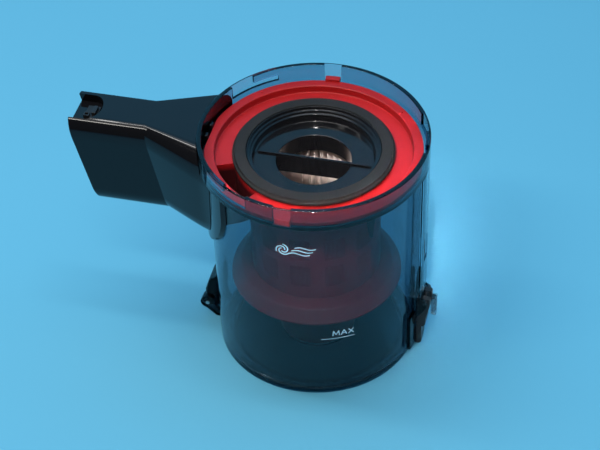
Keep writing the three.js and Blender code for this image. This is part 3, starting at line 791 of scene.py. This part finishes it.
def filter_bowl():
    seat = FLANGE_Z + 3.2
    outline = rounded([
        (THROAT_R, THROAT_FOOT, 0.4), (THROAT_R + 1.8, THROAT_FOOT, 0.4), (THROAT_R + 1.8, BOWL_Z - 2.6, 0.4),
        (41.5, BOWL_Z - 2, 0.6), (SEAL_IN_R - 0.1, BOWL_Z - 1, 0.6), (SEAL_IN_R - 0.1, FLANGE_Z, 0.3),
        (SEAL_OUT_R - 0.9, FLANGE_Z, 0.4), (SEAL_OUT_R - 0.9, seat, 0.4), (SEAL_IN_R - 0.3, seat, 0.2),
        (SEAL_IN_R - 0.3, seat + 1.2, 0.3), (SEAL_IN_R - 1.0, seat + 1.2, 0.3),
        (SEAL_IN_R - 1.3, seat - 1.0, 0.3), (SEAL_IN_R - 2.4, seat - 1.3, 0.3),
        (SEAL_IN_R - 2.7, seat - 3.0, 0.3), (SEAL_IN_R - 3.9, seat - 3.4, 0.3),
        (SEAL_IN_R - 4.3, BOWL_Z + 0.9, 0.5), (SEAL_IN_R - 5.2, BOWL_Z, 0.6), (THROAT_R, BOWL_Z, 0.7),
    ], steps=4)
    bowl = lathe("filter_bowl", outline)
    web_top = BOWL_Z + 1.5
    grip = soften(block((-39, 39), (-0.8, 0.8), (BOWL_Z - 0.6, web_top)), 0.35)
    blade = block((-THROAT_R - 0.6, THROAT_R + 0.6), (-0.8, 0.8), (THROAT_FOOT, web_top - 0.4))
    add(bowl, grip, blade)
    return place(bowl, "filter", GLOSS, "black_gloss", "filter_frame")


def seal_ring():
    low = SEAL_LOW
    ring = lathe("seal_ring", rounded([
        (SEAL_IN_R, low, 0.2), (SEAL_OUT_R - 0.6, low, 0), (SEAL_OUT_R - 0.6, low - 2, 0.15),
        (SEAL_OUT_R + 0.1, low - 2, 0.25), (SEAL_OUT_R + 0.1, low - 0.3, 0.4), (SEAL_OUT_R - 0.7, low, 0.3),
        (SEAL_OUT_R - 1.1, low + 0.3, 0.2), (SEAL_OUT_R - 1.5, low + 1.7, 0.4),
        (SEAL_IN_R + 0.1, low + 1.7, 0.35),
    ], steps=4))
    return place(ring, "filter", RUBBER, "seal_rubber", "filter_seal")


def pleats():
    """One closed sheet folded round the filter, of even thickness."""
    steps = 14
    count = PLEATS * steps
    middle, swing = sum(PLEAT_R) / 2, (PLEAT_R[1] - PLEAT_R[0]) / 2
    line = []
    for k in range(count):
        phase = 2 * math.pi * k / steps
        fold = math.asin(0.975 * math.cos(phase)) / math.asin(0.975)
        line.append(Vector(polar(middle + swing * fold, 360 * k / count)))
    thickness = 0.7
    outer, inner = [], []
    for k, here in enumerate(line):
        along = (line[(k + 1) % count] - line[k - 1]).normalized()
        across = Vector((along.y, -along.x)) * thickness / 2
        outer.append(tuple(here + across))
        inner.append(tuple(here - across))
    points, faces = [], []
    for ring, z in ((outer, PLEAT_Z[0]), (outer, PLEAT_Z[1]), (inner, PLEAT_Z[1]), (inner, PLEAT_Z[0])):
        points += [(x, y, z) for x, y in ring]
    for k in range(4):
        here, there = k * count, (k + 1) % 4 * count
        for i in range(count):
            j = (i + 1) % count
            faces.append((here + i, here + j, there + j, there + i))
    sheet = new_piece("pleated_sheet", points, faces)
    return place(sheet, "filter", PAPER, "filter_paper", "pleated_filter", sharp=60)


def end_cap():
    top = PLEAT_Z[0] - GAP
    cap = lathe("filter_end_disc", rounded([
        (0, top - 3, 0), (41.4, top - 3, 0.8), (41.4, top + 2.3, 0.4), (40.4, top + 2.3, 0.3),
        (40.4, top, 0.3), (0, top, 0),
    ]))
    return place(cap, "filter", SATIN, "black_satin", "filter_end_cap")


# ---------- bottom door and hinge ----------


def door_dish():
    r = BODY_FOOT_R
    outline = rounded([
        (0, 0, 0), (24, 0, 0.8), (26, 2.2, 0.8), (58, 2.2, 0.8), (61, 0, 0.8), (r - 0.2, 0, 0.9),
        (r - 0.2, 5.2, 0.3), (r - 0.9, 5.2, 0.2), (r - 0.9, 3.6, 0.2), (r - 2.7, 3.6, 0.2),
        (r - 2.7, 5.2, 0.2),
        (64, 5.2, 0.6), (62, 4.2, 0.6), (0, 4.2, 0),
    ])
    dish = lathe("door_dish", outline)
    arm = rounded([
        (-84.5, 9.5, 1), (-80, 6.3, 1.5), (-74, 0.4, 0.8), (-68, 0.4, 0), (-68, 3.4, 0), (-70.2, 3.4, 0),
        (-70.2, 4.9, 0.2), (-72.3, 4.9, 0.2), (-75.2, 12.5, 1.5),
    ])
    knuckles = []
    for side in (-1, 1):
        y0, y1 = sorted(y * side for y in KNUCKLE_Y)
        knuckle = prism("tool", arm, y0, y1, "y")
        add(knuckle, rod((HINGE_X, HINGE_Z), 5.4, y0, y1))
        knuckles.append(soften(knuckle, 0.35))
    add(dish, *knuckles)
    cut(
        dish,
        rod((HINGE_X, HINGE_Z), PIN_HOLE_R, -11, 11),
        block((66.5, 75), (-8, 8), (-1, 2.9)),
    )
    add(dish, soften(block((69.8, 73.2), (-6, 6), (2.9, 4.9)), 0.35))
    return place(dish, "door", SMOKE, "smoke_plastic", "bottom_door")


def hinge_bracket_body():
    half_w = 5.6
    gusset = prism("hinge_bracket_body", rounded([
        (-72.6, 7.5, 0), (-76, 7.5, 0.5), (-83, 17, 2), (-80, 25, 2), (-78.6, 33.5, 0.4), (-73.6, 38, 1.5),
        (-72.6, 46, 0),
    ]), -half_w, half_w, "y")
    wings = prism("tool", rounded([
        (-72.6, 20.5, 0), (-80.6, 20.5, 0.5), (-80, 25, 1), (-78.6, 33.5, 0.4), (-73.6, 38, 1.5),
        (-72.6, 40, 0),
    ]), -9, 9, "y")
    soften(wings, 0.4)
    boss = soften(rod((HINGE_X, HINGE_Z), 5.2, -half_w, half_w), 0.4)
    add(gusset, wings, boss)
    cut(
        gusset,
        rod((HINGE_X, HINGE_Z), PIN_HOLE_R, -12, 12),
        block((-90, -75.5), (-3, 3), (5, 18.5)),
        rod((0, 0), BODY_TOP_R - 0.2, 0, 60, "z", ROUND),
    )
    return place(gusset, "bin", SMOKE, "smoke_plastic", "hinge_bracket")


# ---------- latch and push rod ----------


def latch_cheeks():
    body_r = BODY_TOP_R - 0.1
    cheeks = sector(body_r, body_r + 2.4, (6, 36), 0, 32, "latch_cheeks", 48)
    keep_inside(cheeks, block((60, 80), (-19, 19), (0, 60)))
    cut(cheeks, block((60, 80), (-CHEEK_IN, CHEEK_IN), (0, 60)))
    soften(cheeks, 0.5)
    ear = rounded([
        (72, 30, 0), (76, 32, 1), (80.6, 39, 1.5), (81.2, 43, 1.5), (79, 46.2, 1.5), (72, 47.5, 0),
    ])
    ears = [
        soften(prism("tool", ear, *sorted(y * side for y in EAR_Y), "y"), 0.3) for side in (-1, 1)
    ]
    shelf = soften(block((74, 77.6), (-EAR_Y[1], EAR_Y[1]), (46, 47.5)), 0.2)
    add(cheeks, *ears, shelf)
    cut(cheeks, rod((PIVOT_X, PIVOT_Z), PIN_HOLE_R, -12, 12), rod((0, 0), body_r, 0, 60, "z", ROUND))
    return place(cheeks, "bin", SMOKE, "smoke_plastic", "latch_bracket")


def lever():
    outline = rounded([
        (71.6, 1, 0.3), (76, 1, 0.6), (77.3, 2.6, 0.6), (77.3, 18, 0.3), (78.4, 18, 0.4), (79.8, 20, 0.6),
        (80, 26, 0.8), (82.6, 38, 1.2), (82.6, 45, 0.6), (74.6, 45.2, 0.6), (73.9, 44, 0.4),
        (73.9, 23.7, 0.4), (72.3, 21, 0.4), (72.3, 9, 0.4), (73.9, 7.2, 0.3), (73.9, 2.6, 0.2),
        (71.6, 2.4, 0.2),
    ])
    body = prism("latch_lever_body", outline, lowest("latch_lever").y, highest("latch_lever").y, "y")
    soften(body, 0.35)
    cut(body, rod((PIVOT_X, PIVOT_Z), PIN_HOLE_R, -12, 12), block((75.5, 84), (-2.6, 2.6), (39.6, 46)))
    return place(body, "latch", SATIN, "black_satin", "latch_lever")


def pad():
    low, high = lowest("thumb_pad"), highest("thumb_pad")
    outline = rounded([(low.y, low.z), (high.y, low.z), (high.y, high.z), (low.y, high.z)], 1.6, 5)
    plate = soften(prism("pad_plate", outline, low.x, low.x + 1.6, "x"), 0.35)
    ribs = []
    for k in range(4):
        z = low.z + 4.8 * k
        rib = block((low.x + 1, high.x), (low.y + 0.2, high.y - 0.2), (z, z + 1.6))
        ribs.append(soften(rib, 0.6, 3))
    core = block((low.x + 1, high.x - 0.9), (low.y + 0.7, high.y - 0.7), (low.z + 1, high.z - 1))
    soften(core, 0.6, 3)
    add(plate, core, *ribs)
    return place(plate, "latch", PALE_SMOKE, "smoke_plastic", "thumb_pad")


def rod_blade():
    low, high = lowest("push_rod"), highest("push_rod")
    blade = soften(block((low.x, low.x + 0.9), (-3.5, 3.5), (low.z, high.z), "rod_blade"), 0.2)
    return place(blade, "rod", THIN_CLEAR, "clear_bin", "push_rod")


def rod_flag():
    low = lowest("push_rod")
    flag = soften(block((low.x + 0.92, low.x + 1.38), (1.4, 3.4), (79.2, 81.4), "rod_flag"), 0.1)
    add(flag, soften(block((low.x + 0.92, low.x + 1.3), (2.8, 3.4), (80, 93)), 0.1))
    chevron = [(-2.6, 100.4), (0, 98.2), (2.6, 100.4), (2.6, 99.6), (0, 97.4), (-2.6, 99.6)]
    gather(flag, [prism("tool", chevron, low.x + 0.95, low.x + 1.25, "x")])
    return place(flag, "rod", SATIN, "black_satin")


def shoe():
    low, high = lowest("rod_shoe"), highest("rod_shoe")
    body = soften(block((low.x, high.x), (low.y, high.y), (53, 64), "shoe_body"), 0.4)
    tongue_outline = [(72.2, 54), (72.2, low.z), (72.6, low.z), (73.6, low.z + 1.7), (73.6, 54)]
    tongue = prism("tool", tongue_outline, -3, 3, "y")
    arrow = prism("tool", [(low.y, 63.8), (high.y, 63.8), (0, high.z)], 72.3, 74.9, "x")
    add(body, tongue, soften(arrow, 0.3))
    return place(body, "rod", BROWN_SMOKE, "smoke_plastic", "rod_shoe")


def spring(name, centre, radius, wire, turns, length, axis):
    """A coil spring of round wire with closed ends."""
    around, per_turn = 10, 32
    steps = turns * per_turn
    rings = []
    for k in range(steps + 1):
        t = k / steps
        angle = 2 * math.pi * turns * t
        out = Vector((math.cos(angle), math.sin(angle), 0))
        up = Vector((0, 0, 1))
        middle = out * radius + up * (t - 0.5) * length
        ring = []
        for i in range(around):
            c, s = polar(wire / 2, 360 * i / around)
            point = middle + out * c + up * s
            if axis == "y":
                point = Vector((point.x, point.z, point.y))
            ring.append(tuple(point + Vector(centre)))
        rings.append(ring)
    return skin(name, rings)


def springs():
    coil = spring("rod_coil", (75.3, 0, 50.25), 1.1, 0.5, 4, 4.2, "z")
    place(coil, "bin", STEEL, "steel", "rod_spring")
    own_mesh(coil)
    coil = spring("latch_coil", (PIVOT_X, 0, PIVOT_Z), 2.1, 0.6, 4, 3.8, "y")
    place(coil, "bin", BLACK_STEEL, "steel", "latch_spring")
    coil = spring("door_coil", (HINGE_X, 0, HINGE_Z), 2.9, 0.9, 4, 4.6, "y")
    place(coil, "bin", STEEL, "steel", "door_spring")


# ---------- printed marks ----------


def wall_radius(z):
    share = (z - BIN_FOOT) / (COLLAR_Z - BIN_FOOT)
    return BODY_FOOT_R + (BODY_TOP_R - BODY_FOOT_R) * share


def stroke(points, width, middle_angle, middle_z):
    """A thin printed line on the wall through (across, up) points, as one closed body."""
    left, right = [], []
    for k, here in enumerate(points):
        before = Vector(points[max(k - 1, 0)])
        after = Vector(points[min(k + 1, len(points) - 1)])
        along = (after - before).normalized()
        side = Vector((-along.y, along.x)) * width / 2
        left.append(Vector(here) + side)
        right.append(Vector(here) - side)

    def bent(point, lift):
        z = middle_z + point.y
        radius = wall_radius(z) + lift
        angle = middle_angle + math.degrees(point.x / radius)
        return (*polar(radius, angle), z)

    rings = []
    for a, b in zip(left, right):
        rings.append([bent(a, 0.02), bent(b, 0.02), bent(b, 0.12), bent(a, 0.12)])
    return skin("tool", rings)


def line_points(start, end, pieces=4):
    return [
        (start[0] + (end[0] - start[0]) * k / pieces, start[1] + (end[1] - start[1]) * k / pieces)
        for k in range(pieces + 1)
    ]


def level_mark():
    """A fill line with the word MAX above it."""
    angle, z = -64.9, 54.4
    parts = [stroke(line_points((-11.7, 0), (11.7, 0), 16), 0.55, angle, z)]
    height = 4.4
    letters = {
        "M": [
            ((0, 0), (0.5, height)), ((0.5, height), (2.3, 0.8)), ((2.3, 0.8), (4.1, height)),
            ((4.1, height), (4.6, 0)),
        ],
        "A": [((0, 0), (2, height)), ((2, height), (4, 0)), ((0.8, 1.5), (3.2, 1.5))],
        "X": [((0, 0), (3.6, height)), ((0, height), (3.6, 0))],
    }
    at = -3.6
    for letter in "MAX":
        for start, end in letters[letter]:
            shifted = [(x + at, y + 2.6) for x, y in line_points(start, end)]
            parts.append(stroke(shifted, 0.75, angle, z))
        at += max(x for line in letters[letter] for x, _ in line) + 1.2
    mark = parts.pop(0)
    mark.name = "level_mark"
    gather(mark, parts)
    return place(mark, "bin", INK, "clear_bin")


def swirl_mark():
    """A plain swirl pictogram where the bin is printed."""
    parts = []
    for arm in range(3):
        points = []
        for k in range(17):
            t = k / 16
            points.append(polar(1.3 + 3.6 * t, 120 * arm + 210 * t))
        parts.append(stroke(points, 0.8, -93.5, 136.5))
    for tail in range(3):
        points = [(8 + 14 * k / 12 - 2 * tail, -2.6 * (tail - 1) + 0.9 * math.sin(k / 2)) for k in range(13)]
        parts.append(stroke(points, 0.7, -93.5, 136.5))
    mark = parts.pop(0)
    mark.name = "swirl_mark"
    gather(mark, parts)
    return place(mark, "bin", INK, "clear_bin")


# ---------- carried CAD nodes ----------


def carried(node, material):
    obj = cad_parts[node]
    obj.data.materials.clear()
    obj.data.materials.append(material)


# ---------- floor, light and camera ----------


def floor():
    size = 3.0
    mesh = bpy.data.meshes.new("floor")
    corners = [(-size, -size, 0), (size, -size, 0), (size, size, 0), (-size, size, 0)]
    mesh.from_pydata(corners, [], [(0, 1, 2, 3)])
    obj = bpy.data.objects.new("floor", mesh)
    bpy.context.scene.collection.objects.link(obj)
    n = Nodes("pale floor")
    shade = n.noise(180, 2)
    shader = n.node(
        "BsdfPrincipled",
        Base_Color=n.tint(shade, (0.102, 0.395, 0.565), (0.110, 0.41, 0.58)),
        Roughness=n.between(shade, 0.75, 0.85),
    )
    obj.data.materials.append(n.finish(shader.outputs[0]))


def area_light(name, place_m, along, facing, size, power, colour=(1, 1, 1), spread=180):
    """A rectangular lamp, its long side along one direction and its light towards another."""
    data = bpy.data.lights.new(name, "AREA")
    data.shape = "RECTANGLE"
    data.size, data.size_y = size
    data.energy = power
    data.color = colour
    data.spread = radians(spread)
    z = -Vector(facing).normalized()
    x = (Vector(along) - z * Vector(along).dot(z)).normalized()
    axes = Matrix((x, z.cross(x), z)).transposed().to_4x4()
    obj = bpy.data.objects.new(name, data)
    obj.matrix_world = Matrix.Translation(place_m) @ axes
    bpy.context.scene.collection.objects.link(obj)


def lights():
    world = bpy.data.worlds.new("studio")
    world.use_nodes = True
    nodes, links = world.node_tree.nodes, world.node_tree.links
    parts = nodes.new("ShaderNodeSeparateXYZ")
    share = nodes.new("ShaderNodeMapRange")
    shade = nodes.new("ShaderNodeMix")
    share.inputs["From Min"].default_value, share.inputs["From Max"].default_value = -0.1, 0.3
    shade.data_type = "RGBA"
    shade.inputs[6].default_value = (0.045, 0.048, 0.055, 1)
    shade.inputs[7].default_value = (0.15, 0.60, 1.0, 1)
    links.new(nodes.new("ShaderNodeTexCoord").outputs["Generated"], parts.inputs[0])
    links.new(parts.outputs["Y"], share.inputs[0])
    links.new(share.outputs[0], shade.inputs[0])
    links.new(shade.outputs[2], nodes["Background"].inputs["Color"])
    bpy.context.scene.world = world
    across = (1, 0, 0)
    area_light("ceiling", (-0.2, -0.3, 2.2), across, (0, 0, -1), (2.4, 2.0), 22)
    area_light("key", (-0.47, -0.95, 1.8), across, (0.22, 0.5, -0.84), (1.8, 0.16), 17, (1, 0.97, 0.9))
    area_light("tube", (-0.46, 0.02, 1.7), across, (0.18, 0, -1), (1.8, 0.1), 11, (1, 0.99, 0.96))
    area_light(
        "throat", (0.1, -0.55, 0.95), across, (-0.08, 0.55, -0.84), (0.12, 0.12), 0.11, (1, 0.95, 0.92), 7
    )


def camera():
    target = Vector((-10.5, -2.8, 95.5)) * MM
    azimuth, elevation, roll = radians(15), radians(42.34), radians(-1.9)
    distance = 1.247
    forward = Vector((
        -math.sin(azimuth) * math.cos(elevation),
        math.cos(azimuth) * math.cos(elevation),
        -math.sin(elevation),
    ))
    right = Vector((math.cos(azimuth), math.sin(azimuth), 0))
    up = right.cross(forward)
    right, up = (
        right * math.cos(roll) + up * math.sin(roll),
        up * math.cos(roll) - right * math.sin(roll),
    )
    data = bpy.data.cameras.new("camera")
    data.lens = 108
    data.sensor_width = 36
    data.clip_start, data.clip_end = 0.05, 20
    obj = bpy.data.objects.new("camera", data)
    axes = Matrix((right, up, -forward)).transposed().to_4x4()
    obj.matrix_world = Matrix.Translation(target - forward * distance) @ axes
    bpy.context.scene.collection.objects.link(obj)
    bpy.context.scene.camera = obj


bin_shell()
rod_cover_panel()
duct()
duct_flange()
collar_clips()
catch_insert()
separator_deck()
shroud_body()
skirt_bell()
dust_tube()
filter_bowl()
seal_ring()
pleats()
end_cap()
door_dish()
hinge_bracket_body()
latch_cheeks()
lever()
pad()
rod_blade()
rod_flag()
shoe()
springs()
level_mark()
swirl_mark()
carried("hinge_pin", STEEL)
carried("latch_pin", BLACK_STEEL)
carried("door_seal", RUBBER)
carried("separator_seal", RUBBER)
floor()
lights()
camera()
bpy.context.scene.view_settings.view_transform = "Standard"
